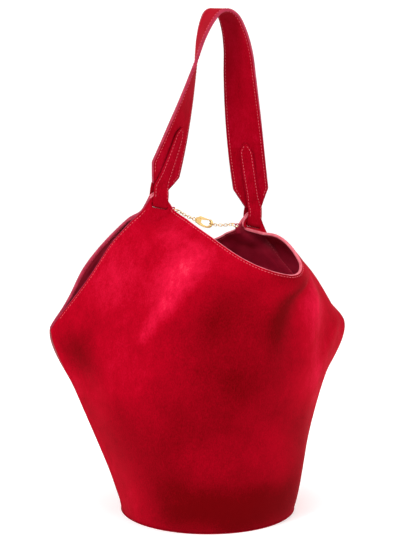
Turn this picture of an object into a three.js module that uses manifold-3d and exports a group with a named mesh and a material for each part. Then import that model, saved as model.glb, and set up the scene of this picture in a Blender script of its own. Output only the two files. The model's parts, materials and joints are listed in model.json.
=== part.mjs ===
// Bucket bag: two cat's-head leather panels on an oval base, a twisted shoulder strap
// that hooks through the paired ears, and a short chain with a lobster clasp.
// Millimetres, +Z up. X runs from corner to corner, -Y is the front.
// The bag is laid out with half-turn symmetry about its axis and then settled, which
// leans it and drops one ear, as a soft bag stands.

import * as THREE from 'three';
import { mergeVertices } from 'three/addons/utils/BufferGeometryUtils.js';
import Module from 'manifold-3d';

const wasm = await Module();
wasm.setup();

// ---- Driving dimensions ----

const GAP = 0.3;
const LINING_THICKNESS = 1.2;
const SUEDE_THICKNESS = 1.5;
const PANEL_CLEARANCE = 0.4;
const SEAM_INSET = 0.7;

const BASE_HALF_LENGTH = 97.5;
const BASE_HALF_WIDTH = 86;
const BASE_SKIN = 1.5;
const BASE_BOARD = 2.4;
const BASE_RIM = 4;
const SEAM_ANGLE = THREE.MathUtils.degToRad(198);

const FLAT_BASE_WIDTH = 292;
const FLAT_WIDTH = 400;
const FLAT_CORNER_HEIGHT = 222;
const FLAT_VALLEY_HEIGHT = 300;
const FLAT_LEFT_EAR = 76;
const FLAT_RIGHT_EAR = 352;
const FLAT_EAR_HALF = 8;
const FLAT_EAR_SHOULDER = 386;
const FLAT_EAR_HEIGHT = 394;

const EAR_X = 54;
const EAR_Y = 29;
const SLOT_HEIGHT = 340;
const SLOT_LENGTH = 20;
const SLOT_OPENING = 6;
const SLOT_RISE = 1.6;
const PINCH_NEAR = 16;
const PINCH_FAR = 36;
const ALONG = new THREE.Vector3(EAR_X, EAR_Y, 0).normalize();
const FACING = new THREE.Vector3(ALONG.y, -ALONG.x, 0);
const UP = new THREE.Vector3(0, 0, 1);

const LEAN_AT_BASE = 9.5;
const LEAN_AT_TOP = 25;
const EAR_DROP = 0.24;
const CENTRING = 0.59;

const STRAP_WIDTH = 42;
const STRAP_END_WIDTH = 20;
const STRAP_LAYER = 1.4;
const STRAP_END_HEIGHT = 362;
const STRAP_SHOULDER_HEIGHT = 382;
const STRAP_STEPS = 56;
const END_TURN = THREE.MathUtils.degToRad(8);

const TONGUE_WIDTH = 18;
const TONGUE_THICKNESS = 2;
const TAB_WIDTH = 15;
const TAB_TOP = 432;
const TAB_POINT = 26;

const RING_WIRE = 0.6;
const LINK_WIRE = 0.45;
const LINK_HALF_WIDTH = 1.55;
const LINK_STRETCH = 1.1;
const FRONT_LINKS = 6;
const BACK_LINKS = 7;
const CHAIN_SAG = 6;

const SUEDE_RED = 0xb80a28;
const LINING_RED = 0x6e0a1c;
const GOLD = 0xd9a94a;
const BOARD = 0x6b5a48;

// ---- Panel control points: [across, up] on the flat leather, then where it stands ----
// Both panels share their stitched edge, their ears and most of their face. Each has its
// own mouth, free edge and flap, and the back panel's places are a half turn round.

const STITCHED_EDGE = [
  [[0, 222], [-166, -25, 215]],
  [[14, 256], [-142, -30, 244]],
  [[31, 299], [-116, -34, 275]],
  [[48, 338], [-91, -37, 308]],
  [[68, 386], [-64, -35, 348]],
  [[76, 394], [-54, -29, 356]],
  [[84, 386], [-46, -24, 349]],
  [[344, 386], [46, 24, 349]],
  [[352, 394], [54, 29, 356]],
  [[360, 386], [63, 34, 350]],
  [[400, 222], [166, 25, 215]],
];

const PANEL_FACE = [
  [[42, 53], [-107, -28, 52]],
  [[30, 100], [-123, -27, 98]],
  [[15, 160], [-144, -26, 156]],
  [[358, 53], [107, 28, 52]],
  [[370, 100], [123, 27, 98]],
  [[385, 160], [144, 26, 156]],
  [[121, 53], [-50, -86, 50]],
  [[200, 53], [36, -92, 50]],
  [[279, 53], [99, -43, 50]],
  [[98, 100], [-79, -75, 97]],
  [[166, 100], [-10, -101, 98]],
  [[234, 100], [61, -92, 98]],
  [[302, 100], [112, -38, 98]],
  [[89, 160], [-93, -75, 150]],
  [[163, 160], [-11, -105, 152]],
  [[237, 160], [71, -98, 156]],
  [[311, 160], [127, -37, 154]],
  [[61, 215], [-112, -59, 200]],
  [[121, 215], [-50, -90, 201]],
  [[180, 215], [17, -104, 205]],
  [[240, 215], [85, -94, 210]],
  [[299, 215], [127, -46, 208]],
  [[350, 215], [150, -11, 208]],
  [[70, 265], [-90, -60, 247]],
  [[125, 265], [-30, -85, 250]],
  [[75, 310], [-78, -49, 293]],
];

const FRONT_OWN = [
  [[111, 361], [-21, -38, 334]],
  [[138, 338], [7, -58, 322]],
  [[175, 314], [46, -80, 307]],
  [[198, 304], [73, -87, 302]],
  [[214, 300], [93, -80, 301]],
  [[231, 304], [103, -65, 307]],
  [[244, 309], [104, -52, 316]],
  [[257, 316], [97, -40, 327]],
  [[270, 325], [89, -30, 334]],
  [[283, 333], [81, -20, 337]],
  [[305, 350], [66, -4, 335]],
  [[322, 365], [53, 10, 334]],
  [[334, 376], [44, 19, 341]],
  [[365, 364], [80, 39, 327]],
  [[373, 334], [97, 43, 299]],
  [[380, 305], [113, 43, 276]],
  [[385, 282], [128, 41, 262]],
  [[390, 263], [141, 37, 249]],
  [[395, 244], [154, 30, 233]],
  [[180, 265], [34, -99, 258]],
  [[225, 265], [84, -91, 264]],
  [[275, 265], [123, -38, 268]],
  [[325, 265], [136, 0, 266]],
  [[357, 262], [144, 15, 252]],
  [[105, 310], [-46, -57, 297]],
  [[145, 306], [5, -77, 297]],
  [[231, 279], [107, -63, 283]],
  [[252, 285], [114, -42, 298]],
  [[285, 306], [100, -8, 322]],
  [[315, 308], [107, 10, 316]],
  [[350, 310], [117, 23, 299]],
  [[100, 350], [-33, -42, 322]],
  [[318, 336], [78, 6, 332]],
  [[343, 346], [76, 20, 332]],
];

const BACK_OWN = [
  [[111, 361], [-22, -37, 319]],
  [[138, 338], [7, -58, 299]],
  [[175, 314], [46, -80, 294]],
  [[198, 304], [73, -87, 290]],
  [[214, 300], [93, -80, 290]],
  [[231, 304], [96, -65, 295]],
  [[244, 309], [92, -52, 301]],
  [[257, 316], [84, -40, 309]],
  [[270, 325], [76, -30, 317]],
  [[283, 333], [70, -20, 324]],
  [[305, 350], [60, -5, 330]],
  [[322, 365], [51, 9, 333]],
  [[334, 376], [44, 18, 341]],
  [[365, 364], [76, 33, 328]],
  [[373, 334], [97, 33, 306]],
  [[380, 305], [117, 32, 285]],
  [[385, 282], [132, 31, 267]],
  [[390, 263], [142, 29, 250]],
  [[395, 244], [153, 27, 234]],
  [[180, 265], [34, -99, 252]],
  [[225, 265], [84, -91, 256]],
  [[275, 265], [119, -40, 262]],
  [[325, 265], [130, 2, 262]],
  [[105, 310], [-46, -57, 290]],
  [[145, 306], [5, -72, 277]],
  [[231, 279], [104, -68, 272]],
  [[252, 285], [104, -47, 285]],
  [[285, 306], [87, -10, 309]],
  [[315, 308], [92, 10, 306]],
  [[350, 310], [104, 24, 296]],
  [[100, 350], [-33, -42, 316]],
  [[318, 336], [72, 4, 322]],
  [[343, 346], [74, 20, 324]],
];

// ---- Small helpers ----

function smooth(value, low, high) {
  return THREE.MathUtils.smoothstep(value, low, high);
}

function vec(x, y, z) {
  return new THREE.Vector3(x, y, z);
}

// Leans the bag's axis, lowers the right ear against the left one and centres the whole.
function settle(point) {
  const lift = smooth(point.z, 215, 340);
  const z = point.z - EAR_DROP * point.x * lift;
  const lean = LEAN_AT_BASE * (1 - smooth(z, 0, 215)) + LEAN_AT_TOP * smooth(z, 180, 620);
  return vec(point.x + lean - CENTRING, point.y, z);
}

function halfTurn(point) {
  return vec(-point.x, -point.y, point.z);
}

function toManifold(geometry) {
  const bare = geometry.clone();
  bare.deleteAttribute('normal');
  bare.deleteAttribute('uv');
  const merged = mergeVertices(bare, 1e-4);
  return new wasm.Manifold(new wasm.Mesh({
    numProp: 3,
    vertProperties: new Float32Array(merged.attributes.position.array),
    triVerts: new Uint32Array(merged.index.array),
  }));
}

function toGeometry(solid) {
  const mesh = solid.getMesh();
  const geometry = new THREE.BufferGeometry();
  geometry.setAttribute('position', new THREE.BufferAttribute(new Float32Array(mesh.vertProperties), 3));
  geometry.setIndex(new THREE.BufferAttribute(new Uint32Array(mesh.triVerts), 1));
  geometry.computeVertexNormals();
  return geometry;
}

function subtract(geometry, ...cutters) {
  let solid = toManifold(geometry);
  for (const cutter of cutters) {
    solid = solid.subtract(toManifold(cutter));
  }
  return toGeometry(solid);
}

function unite(geometry, ...others) {
  let solid = toManifold(geometry);
  for (const other of others) {
    solid = solid.add(toManifold(other));
  }
  return toGeometry(solid);
}

// A closed skin between two matching grids of points, front[row][column] and back.
// splitOther says which squares are split from their second corner.
function slab(front, back, splitOther = () => false) {
  const rows = front.length;
  const columns = front[0].length;
  const points = [...front.flat(), ...back.flat()];
  const behind = rows * columns;
  const at = (row, column) => row * columns + column;
  const triangles = [];
  const quad = (a, b, c, d) => triangles.push(a, b, c, a, c, d);
  for (let r = 0; r < rows - 1; r += 1) {
    for (let c = 0; c < columns - 1; c += 1) {
      const corners = [at(r, c), at(r, c + 1), at(r + 1, c + 1), at(r + 1, c)];
      if (splitOther(r, c)) corners.push(corners.shift());
      const [first, second, third, fourth] = corners;
      quad(first, second, third, fourth);
      quad(behind + first, behind + fourth, behind + third, behind + second);
    }
  }
  const rim = [];
  for (let c = 0; c < columns - 1; c += 1) rim.push(at(0, c));
  for (let r = 0; r < rows - 1; r += 1) rim.push(at(r, columns - 1));
  for (let c = columns - 1; c > 0; c -= 1) rim.push(at(rows - 1, c));
  for (let r = rows - 1; r > 0; r -= 1) rim.push(at(r, 0));
  rim.forEach((here, index) => {
    const next = rim[(index + 1) % rim.length];
    quad(here, behind + here, behind + next, next);
  });
  const geometry = new THREE.BufferGeometry();
  const array = new Float32Array(points.flatMap((point) => [point.x, point.y, point.z]));
  geometry.setAttribute('position', new THREE.BufferAttribute(array, 3));
  geometry.setIndex(triangles);
  geometry.computeVertexNormals();
  return geometry;
}

// ---- Panel shape: a thin-plate surface through the control points ----

function solve(matrix, right) {
  const size = matrix.length;
  for (let k = 0; k < size; k += 1) {
    let pivot = k;
    for (let r = k + 1; r < size; r += 1) {
      if (Math.abs(matrix[r][k]) > Math.abs(matrix[pivot][k])) pivot = r;
    }
    [matrix[k], matrix[pivot]] = [matrix[pivot], matrix[k]];
    [right[k], right[pivot]] = [right[pivot], right[k]];
    for (let r = k + 1; r < size; r += 1) {
      const factor = matrix[r][k] / matrix[k][k];
      for (let c = k; c < size; c += 1) matrix[r][c] -= factor * matrix[k][c];
      right[r] = right[r].map((value, axis) => value - factor * right[k][axis]);
    }
  }
  for (let k = size - 1; k >= 0; k -= 1) {
    for (let c = k + 1; c < size; c += 1) {
      right[k] = right[k].map((value, axis) => value - matrix[k][c] * right[c][axis]);
    }
    right[k] = right[k].map((value) => value / matrix[k][k]);
  }
  return right;
}

function kernel(dx, dy) {
  const squared = dx * dx + dy * dy;
  return squared > 0 ? squared * Math.log(squared) : 0;
}

function thinPlate(pairs, slack) {
  const count = pairs.length;
  const matrix = [];
  const right = [];
  for (let i = 0; i < count; i += 1) {
    const [xi, yi] = pairs[i][0];
    const row = pairs.map(([[xj, yj]]) => kernel(xi - xj, yi - yj));
    row[i] += slack;
    matrix.push([...row, 1, xi, yi]);
    right.push([...pairs[i][1]]);
  }
  matrix.push([...pairs.map(() => 1), 0, 0, 0]);
  matrix.push([...pairs.map(([[x]]) => x), 0, 0, 0]);
  matrix.push([...pairs.map(([[, y]]) => y), 0, 0, 0]);
  right.push([0, 0, 0], [0, 0, 0], [0, 0, 0]);
  const weights = solve(matrix, right);
  return (x, y) => {
    const sum = [0, 0, 0];
    for (let axis = 0; axis < 3; axis += 1) {
      sum[axis] = weights[count][axis] + x * weights[count + 1][axis] + y * weights[count + 2][axis];
      for (let i = 0; i < count; i += 1) {
        sum[axis] += weights[i][axis] * kernel(x - pairs[i][0][0], y - pairs[i][0][1]);
      }
    }
    return vec(...sum);
  };
}

const BASE_TOP = BASE_SKIN + GAP;

function baseEdge(fraction) {
  const angle = SEAM_ANGLE + Math.PI * fraction;
  return vec(BASE_HALF_LENGTH * Math.cos(angle), BASE_HALF_WIDTH * Math.sin(angle), BASE_TOP);
}

const FLAT_SIDE = (FLAT_WIDTH - FLAT_BASE_WIDTH) / 2;
const BASE_POINTS = 12;
const basePairs = [];
for (let i = 0; i <= BASE_POINTS; i += 1) {
  const fraction = i / BASE_POINTS;
  basePairs.push([[FLAT_SIDE + FLAT_BASE_WIDTH * fraction, 0], baseEdge(fraction).toArray()]);
}
const SURFACE_SLACK = 20;
const sharedPairs = [...basePairs, ...STITCHED_EDGE, ...PANEL_FACE];
const frontSurface = thinPlate([...sharedPairs, ...FRONT_OWN], SURFACE_SLACK);
const backSurface = thinPlate([...sharedPairs, ...BACK_OWN], SURFACE_SLACK);

// Height of the flat panel's top edge: straight sides, rounded ears and a dipped mouth.
function flatTop(x) {
  const middle = (FLAT_LEFT_EAR + FLAT_RIGHT_EAR) / 2;
  const ear = x < middle ? FLAT_LEFT_EAR : FLAT_RIGHT_EAR;
  const outward = x < middle ? ear - x : x - ear;
  if (Math.abs(outward) <= FLAT_EAR_HALF) {
    const across = outward / FLAT_EAR_HALF;
    return FLAT_EAR_HEIGHT - (FLAT_EAR_HEIGHT - FLAT_EAR_SHOULDER) * across * across;
  }
  if (outward > 0) {
    const side = x < middle ? ear : FLAT_WIDTH - ear;
    const run = (side - outward) / (side - FLAT_EAR_HALF);
    return FLAT_CORNER_HEIGHT + run * (FLAT_EAR_SHOULDER - FLAT_CORNER_HEIGHT);
  }
  const run = 1 - (-outward - FLAT_EAR_HALF) / ((FLAT_RIGHT_EAR - FLAT_LEFT_EAR) / 2 - FLAT_EAR_HALF);
  return FLAT_VALLEY_HEIGHT + (FLAT_EAR_SHOULDER - FLAT_VALLEY_HEIGHT) * Math.pow(run, 1.5);
}

// The loop squeezes both panels flat around each slot.
function pinch(point) {
  for (const side of [-1, 1]) {
    const slot = vec(side * EAR_X, side * EAR_Y, SLOT_HEIGHT);
    const away = point.clone().sub(slot);
    const off = away.dot(FACING);
    const hold = 1 - smooth(away.length(), PINCH_NEAR, PINCH_FAR);
    point.addScaledVector(FACING, -off * hold);
  }
  return point;
}

function panelSurface(x, y, back) {
  const surface = back ? backSurface : frontSurface;
  const fraction = (x - FLAT_SIDE * (1 - Math.min(1, y / FLAT_CORNER_HEIGHT))) / FLAT_BASE_WIDTH;
  const point = pinch(surface(x, y));
  const hold = Math.max(0, 1 - y / 40);
  const wanted = baseEdge(THREE.MathUtils.clamp(fraction, 0, 1));
  const held = surface(THREE.MathUtils.clamp(x, FLAT_SIDE, FLAT_WIDTH - FLAT_SIDE), 0);
  return point.addScaledVector(wanted.sub(held), hold * hold);
}

function panelNormal(x, y, back) {
  const step = 1.5;
  const across = panelSurface(x + step, y, back).sub(panelSurface(x - step, y, back));
  const up = panelSurface(x, y + step, back).sub(panelSurface(x, Math.max(0, y - step), back));
  const normal = across.cross(up);
  normal.z *= Math.min(1, y / 30);
  return normal.normalize();
}

// Columns run up the panel from its base to stops along its top edge.
function spread(from, to, count) {
  return Array.from({ length: count }, (_, index) => from + ((to - from) * index) / count);
}

const COLUMNS = [
  ...spread(0, FLAT_LEFT_EAR - FLAT_EAR_HALF, 7),
  ...spread(FLAT_LEFT_EAR - FLAT_EAR_HALF, FLAT_LEFT_EAR + FLAT_EAR_HALF, 2),
  ...spread(FLAT_LEFT_EAR + FLAT_EAR_HALF, FLAT_RIGHT_EAR - FLAT_EAR_HALF, 24),
  ...spread(FLAT_RIGHT_EAR - FLAT_EAR_HALF, FLAT_RIGHT_EAR + FLAT_EAR_HALF, 2),
  ...spread(FLAT_RIGHT_EAR + FLAT_EAR_HALF, FLAT_WIDTH, 5),
  FLAT_WIDTH,
];
const ROWS = 12;

function panelGrid(offset, back) {
  const grid = [];
  for (let r = 0; r <= ROWS; r += 1) {
    const rise = r / ROWS;
    grid.push(COLUMNS.map((top) => {
      const bottom = FLAT_SIDE + (FLAT_BASE_WIDTH * top) / FLAT_WIDTH;
      const inset = SEAM_INSET * (1 - (2 * top) / FLAT_WIDTH);
      const x = bottom + (top - bottom) * rise + inset;
      const y = flatTop(top) * rise;
      const point = panelSurface(x, y, back).addScaledVector(panelNormal(x, y, back), offset);
      return settle(back ? halfTurn(point) : point);
    }));
  }
  return grid;
}

// Every layer of a panel is split along the same, shorter diagonals.
function panelSplit(back) {
  const grid = panelGrid(0, back);
  return (r, c) => {
    const one = grid[r][c].distanceTo(grid[r + 1][c + 1]);
    const other = grid[r][c + 1].distanceTo(grid[r + 1][c]);
    return one > other;
  };
}

// ---- Frames at the ears ----

function slotCutter(side) {
  const depth = 30;
  const box = new THREE.BoxGeometry(SLOT_LENGTH, SLOT_OPENING, depth);
  box.applyMatrix4(new THREE.Matrix4().makeBasis(ALONG, UP, FACING));
  box.translate(side * EAR_X, side * EAR_Y, SLOT_HEIGHT + SLOT_RISE);
  const points = box.attributes.position;
  for (let i = 0; i < points.count; i += 1) {
    points.setXYZ(i, ...settle(vec().fromBufferAttribute(points, i)).toArray());
  }
  return box;
}

function panelSkin(inner, outer, back) {
  const skin = slab(panelGrid(outer, back), panelGrid(inner, back), panelSplit(back));
  return subtract(skin, slotCutter(-1), slotCutter(1));
}

const LINING_OUT = PANEL_CLEARANCE + LINING_THICKNESS;
const SUEDE_IN = LINING_OUT + GAP;
const SUEDE_OUT = SUEDE_IN + SUEDE_THICKNESS;

// ---- Base ----

function ovalPlate(halfLength, halfWidth, low, high) {
  const shape = new THREE.Shape();
  shape.absellipse(0, 0, halfLength, halfWidth, 0, Math.PI * 2);
  const plate = new THREE.ExtrudeGeometry(shape, {
    depth: high - low,
    bevelEnabled: false,
    curveSegments: 48,
  });
  return plate.translate(LEAN_AT_BASE - CENTRING, 0, low);
}

function basePanel() {
  return ovalPlate(BASE_HALF_LENGTH + BASE_RIM, BASE_HALF_WIDTH + BASE_RIM, 0, BASE_SKIN);
}

function baseBoard() {
  const inset = 2;
  return ovalPlate(BASE_HALF_LENGTH - inset, BASE_HALF_WIDTH - inset, BASE_TOP, BASE_TOP + BASE_BOARD);
}

function baseLining() {
  const inset = 1.5;
  const low = BASE_TOP + BASE_BOARD + GAP;
  return ovalPlate(BASE_HALF_LENGTH - inset, BASE_HALF_WIDTH - inset, low, low + LINING_THICKNESS);
}

// ---- Strap ----

const strapLegs = [
  [54, 29, 362],
  [48, 26, 386],
  [42, 23, 412],
  [36, 19, 441],
  [30, 16, 473],
  [25, 13, 503],
  [21, 11, 530],
  [15, 8, 551],
  [8, 4, 564],
];
const strapCurve = new THREE.CatmullRomCurve3([
  ...strapLegs.map(([x, y, z]) => vec(-x, -y, z)),
  vec(0, 0, 568),
  ...strapLegs.map(([x, y, z]) => vec(x, y, z)).reverse(),
], false, 'centripetal');

// Frame of the strap at a fraction of its length. It turns nearly half round from end to end.
function strapFrame(fraction) {
  const centre = strapCurve.getPointAt(fraction);
  const along = strapCurve.getTangentAt(fraction);
  const angle = Math.atan2(ALONG.y, ALONG.x) + END_TURN + (Math.PI - 2 * END_TURN) * fraction;
  const width = vec(Math.cos(angle), Math.sin(angle), 0);
  width.addScaledVector(along, -width.dot(along)).normalize();
  const out = along.clone().cross(width).normalize();
  return { centre, along, width, out };
}

function strapHalfWidth(z) {
  const grown = THREE.MathUtils.clamp((z - STRAP_END_HEIGHT) / (STRAP_SHOULDER_HEIGHT - STRAP_END_HEIGHT), 0, 1);
  return (STRAP_END_WIDTH + (STRAP_WIDTH - STRAP_END_WIDTH) * grown) / 2;
}

function strapLayer(inner, outer) {
  const grids = [outer, inner].map((offset) => {
    const rows = [];
    for (let i = 0; i <= STRAP_STEPS; i += 1) {
      const { centre, width, out } = strapFrame(i / STRAP_STEPS);
      const half = strapHalfWidth(centre.z);
      rows.push([-1, 0, 1].map((side) => {
        const point = centre.clone().addScaledVector(width, side * half).addScaledVector(out, offset);
        return settle(point);
      }));
    }
    return rows;
  });
  return slab(grids[1], grids[0]);
}

// ---- Tongue loops ----

const STRAP_HALF = GAP / 2 + STRAP_LAYER;
const TONGUE_CLEARANCE = 0.8;
const TAB_OFFSET = STRAP_HALF + TONGUE_CLEARANCE + TONGUE_THICKNESS / 2;
const LEG_OFFSET = SUEDE_OUT + TONGUE_CLEARANCE + TONGUE_THICKNESS / 2;

// Half width of a tongue at a height: a long pointed tab above, a narrow neck below.
function tongueHalfWidth(z) {
  const tabHalf = TAB_WIDTH / 2;
  const neck = smooth(z, STRAP_END_HEIGHT, STRAP_END_HEIGHT + 14);
  const half = THREE.MathUtils.lerp(TONGUE_WIDTH / 2, tabHalf, neck);
  const pointed = THREE.MathUtils.clamp((TAB_TOP - z) / TAB_POINT, 0, 1);
  return Math.max(0.8, half * Math.sin((pointed * Math.PI) / 2) ** 0.8);
}

// The strap's fraction at a height on the leg of one side.
function strapFractionAt(side, z) {
  let low = 0;
  let high = 0.5;
  for (let i = 0; i < 30; i += 1) {
    const middle = (low + high) / 2;
    if (strapCurve.getPointAt(middle).z < z) low = middle;
    else high = middle;
  }
  return side < 0 ? low : 1 - low;
}

function tongueStations(side) {
  const leg = [];
  for (const z of [432, 430, 426, 420, 413, 404, 394, 384, 374, 366]) {
    leg.push({ z, out: TAB_OFFSET });
  }
  leg.push({ z: 360, out: (TAB_OFFSET + LEG_OFFSET) / 2 });
  leg.push({ z: 355, out: LEG_OFFSET });
  leg.push({ z: 347, out: LEG_OFFSET });
  leg.push({ z: 342.4, out: LEG_OFFSET * 0.84 });
  leg.push({ z: 340.4, out: LEG_OFFSET * 0.45 });
  const back = leg.map(({ z, out }) => ({ z, out: -out })).reverse();
  return [...leg, { z: 340, out: 0 }, ...back].map(({ z, out }) => {
    const strapped = z > STRAP_END_HEIGHT;
    const frame = strapFrame(strapFractionAt(side, Math.max(z, STRAP_END_HEIGHT + 0.1)));
    const centre = strapped ? frame.centre : vec(side * EAR_X, side * EAR_Y, z);
    const facing = strapped ? frame.out.clone().multiplyScalar(-1) : FACING.clone();
    const width = strapped ? frame.width.clone().multiplyScalar(-side) : ALONG.clone();
    return { centre: centre.clone().addScaledVector(facing, out), width, half: tongueHalfWidth(z) };
  });
}

function tongueLoop(side) {
  const stations = tongueStations(side);
  const outer = [];
  const inner = [];
  stations.forEach(({ centre, width, half }, index) => {
    const before = stations[Math.max(0, index - 1)].centre;
    const after = stations[Math.min(stations.length - 1, index + 1)].centre;
    const run = after.clone().sub(before);
    const normal = run.cross(width).normalize().multiplyScalar(TONGUE_THICKNESS / 2);
    const row = (sign) => [-1, 0, 1].map((edge) => {
      return settle(centre.clone().addScaledVector(width, edge * half).addScaledVector(normal, sign));
    });
    outer.push(row(1));
    inner.push(row(-1));
  });
  return slab(inner, outer);
}

// ---- Chain closure ----

const FRONT_ANCHOR_FLAT = [97, 370];
const BACK_ANCHOR_FLAT = [97, 373];
const TAB_SIZE = [5.5, 12, 1.6];
const TAB_HOLE_INSET = 2.8;
const TAB_HOLE = 2;
const RING_RADIUS = 4;

// Places of the tab and ring on one panel: the tab lies on the lining by its own ear.
function anchorFrame(back) {
  const [x, y] = back ? BACK_ANCHOR_FLAT : FRONT_ANCHOR_FLAT;
  const place = (fx, fy) => {
    const point = panelSurface(fx, fy, back);
    return settle(back ? halfTurn(point) : point);
  };
  const middle = place(x, y);
  const across = place(x + 3, y).sub(place(x - 3, y)).normalize();
  const up = place(x, y + 3).sub(place(x, y - 3));
  up.addScaledVector(across, -up.dot(across)).normalize();
  const out = across.clone().cross(up).normalize();
  const lift = GAP + TAB_SIZE[2] / 2 - PANEL_CLEARANCE;
  return { middle: middle.addScaledVector(out, -lift), across, up, out };
}

function anchorTab(frame) {
  const [width, height, thickness] = TAB_SIZE;
  const plate = new THREE.BoxGeometry(width, height, thickness);
  const hole = new THREE.CylinderGeometry(TAB_HOLE, TAB_HOLE, 8, 16);
  hole.rotateX(Math.PI / 2).translate(0, height / 2 - TAB_HOLE_INSET, 0);
  const tab = subtract(plate, hole);
  tab.applyMatrix4(new THREE.Matrix4().makeBasis(frame.across, frame.up, frame.out));
  return tab.translate(frame.middle.x, frame.middle.y, frame.middle.z);
}

const frontAnchor = anchorFrame(false);
const backAnchor = anchorFrame(true);

function tabHole(frame) {
  return frame.middle.clone().addScaledVector(frame.up, TAB_SIZE[1] / 2 - TAB_HOLE_INSET);
}

// Each ring passes through its tab's hole and is pulled towards the other one.
const frontHole = tabHole(frontAnchor);
const backHole = tabHole(backAnchor);
const PULL = backHole.clone().sub(frontHole).normalize();

const frontWire = frontHole.clone().addScaledVector(PULL, RING_RADIUS * 2);
const backWire = backHole.clone().addScaledVector(PULL, -RING_RADIUS * 2);

// A ring lies in the plane of the pull and its tab's own normal.
function anchorRing(frame, hole, sign) {
  const across = frame.out.clone().addScaledVector(PULL, -frame.out.dot(PULL)).normalize();
  const ring = new THREE.TorusGeometry(RING_RADIUS, RING_WIRE, 6, 20);
  ring.applyMatrix4(new THREE.Matrix4().makeBasis(PULL, across, PULL.clone().cross(across)));
  const centre = hole.clone().addScaledVector(PULL, sign * RING_RADIUS);
  return ring.translate(centre.x, centre.y, centre.z);
}

// The chain hangs between the rings in a shallow curve, with the clasp at its middle.
const chainCurve = new THREE.QuadraticBezierCurve3(
  frontWire,
  frontWire.clone().add(backWire).multiplyScalar(0.5).add(vec(0, 0, -CHAIN_SAG * 2)),
  backWire,
);
const chainLength = chainCurve.getLength();

function chainFrame(distance, roll) {
  const fraction = THREE.MathUtils.clamp(distance / chainLength, 0, 1);
  const origin = chainCurve.getPointAt(fraction);
  const along = chainCurve.getTangentAt(fraction);
  const side = along.clone().cross(UP).normalize();
  side.applyAxisAngle(along, roll);
  return new THREE.Matrix4().makeBasis(along, side, along.clone().cross(side)).setPosition(origin);
}

// An oval link lying along X, stretched from a ring.
function oval(radius, stretch, wire, around) {
  const link = new THREE.TorusGeometry(radius, wire, 5, around);
  const points = link.attributes.position;
  for (let i = 0; i < points.count; i += 1) {
    const x = points.getX(i);
    points.setX(i, x + THREE.MathUtils.clamp(x / (radius * 0.4), -1, 1) * stretch);
  }
  return link;
}

// Links stand and lie by turns, and the first one stands.
function chainLink(distance, index) {
  const link = oval(LINK_HALF_WIDTH, LINK_STRETCH, LINK_WIRE, 12);
  return link.applyMatrix4(chainFrame(distance, (Math.PI / 2) * ((index + 1) % 2)));
}

const CLASP_LENGTH = 22;
const CLASP_THICKNESS = 2.6;
const CLASP_SLOT = 1.5;
const LEVER_THICKNESS = 0.9;
const PIN_RADIUS = 0.55;
const PIN_CLEARANCE = 0.25;
const PIN_PLACE = [4.6, 2.4];
const EYE_RADIUS = 1.9;
const EYE_WIRE = 0.55;
const POST_RADIUS = 0.7;

function claspOutline() {
  const hook = new THREE.Shape();
  hook.moveTo(0, -2.6);
  hook.lineTo(3, -3.8);
  hook.quadraticCurveTo(10, -6.6, 16.5, -5.8);
  hook.quadraticCurveTo(CLASP_LENGTH, -4.6, CLASP_LENGTH, 0);
  hook.quadraticCurveTo(CLASP_LENGTH, 3.6, 18.2, 4.6);
  hook.lineTo(17, 3);
  hook.quadraticCurveTo(19.2, 2.2, 19.2, 0);
  hook.quadraticCurveTo(19, -3, 16, -3.6);
  hook.quadraticCurveTo(11, -4.2, 6.4, -1.6);
  hook.lineTo(6.4, 3.6);
  hook.quadraticCurveTo(4.6, 5.2, 2.6, 3.8);
  hook.lineTo(0, 2.4);
  hook.closePath();
  return hook;
}

function flatPiece(shape, thickness) {
  const piece = new THREE.ExtrudeGeometry(shape, {
    depth: thickness,
    bevelEnabled: false,
    curveSegments: 6,
  });
  return piece.translate(0, 0, -thickness / 2);
}

function claspPin(radius, length) {
  const pin = new THREE.CylinderGeometry(radius, radius, length, 14);
  return pin.rotateX(Math.PI / 2).translate(PIN_PLACE[0], PIN_PLACE[1], 0);
}

function claspBody() {
  const slot = new THREE.BoxGeometry(6, 8, CLASP_SLOT).translate(PIN_PLACE[0] + 1, 4.4, 0);
  const bore = claspPin(PIN_RADIUS + PIN_CLEARANCE, 10);
  const socket = new THREE.CylinderGeometry(POST_RADIUS + GAP, POST_RADIUS + GAP, 3, 12);
  socket.rotateZ(Math.PI / 2);
  return subtract(flatPiece(claspOutline(), CLASP_THICKNESS), slot, bore, socket);
}

// The sprung gate, from its pin to the tip of the hook.
function claspLever() {
  const gate = new THREE.Shape();
  gate.moveTo(3.4, 1.6);
  gate.lineTo(5.6, 1.4);
  gate.quadraticCurveTo(11, 2.2, 16.1, 3.1);
  gate.lineTo(16.7, 4.5);
  gate.quadraticCurveTo(11, 4.4, 6, 5.2);
  gate.quadraticCurveTo(4.6, 5.6, 3.6, 4.4);
  gate.closePath();
  return subtract(flatPiece(gate, LEVER_THICKNESS), claspPin(PIN_RADIUS + PIN_CLEARANCE, 4));
}

function claspEye() {
  const eye = new THREE.TorusGeometry(EYE_RADIUS, EYE_WIRE, 6, 18).translate(-EYE_RADIUS - 0.9, 0, 0);
  const post = new THREE.CylinderGeometry(POST_RADIUS, POST_RADIUS, 2.2, 12);
  post.rotateZ(Math.PI / 2);
  return unite(eye, post);
}

// The open ring that the clasp hooks into, standing across the hook's nose.
function catchRing() {
  const ring = new THREE.TorusGeometry(CATCH_RADIUS, EYE_WIRE, 6, 18);
  return ring.rotateX(Math.PI / 2).translate(CATCH_CENTRE, 0, 0);
}

const CATCH_RADIUS = 3.3;
const CATCH_CENTRE = CLASP_LENGTH - 0.8;
const CLASP_BACK = EYE_RADIUS * 2 + 0.9;
const CLASP_SPAN = CLASP_BACK + CATCH_CENTRE + CATCH_RADIUS;

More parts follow.
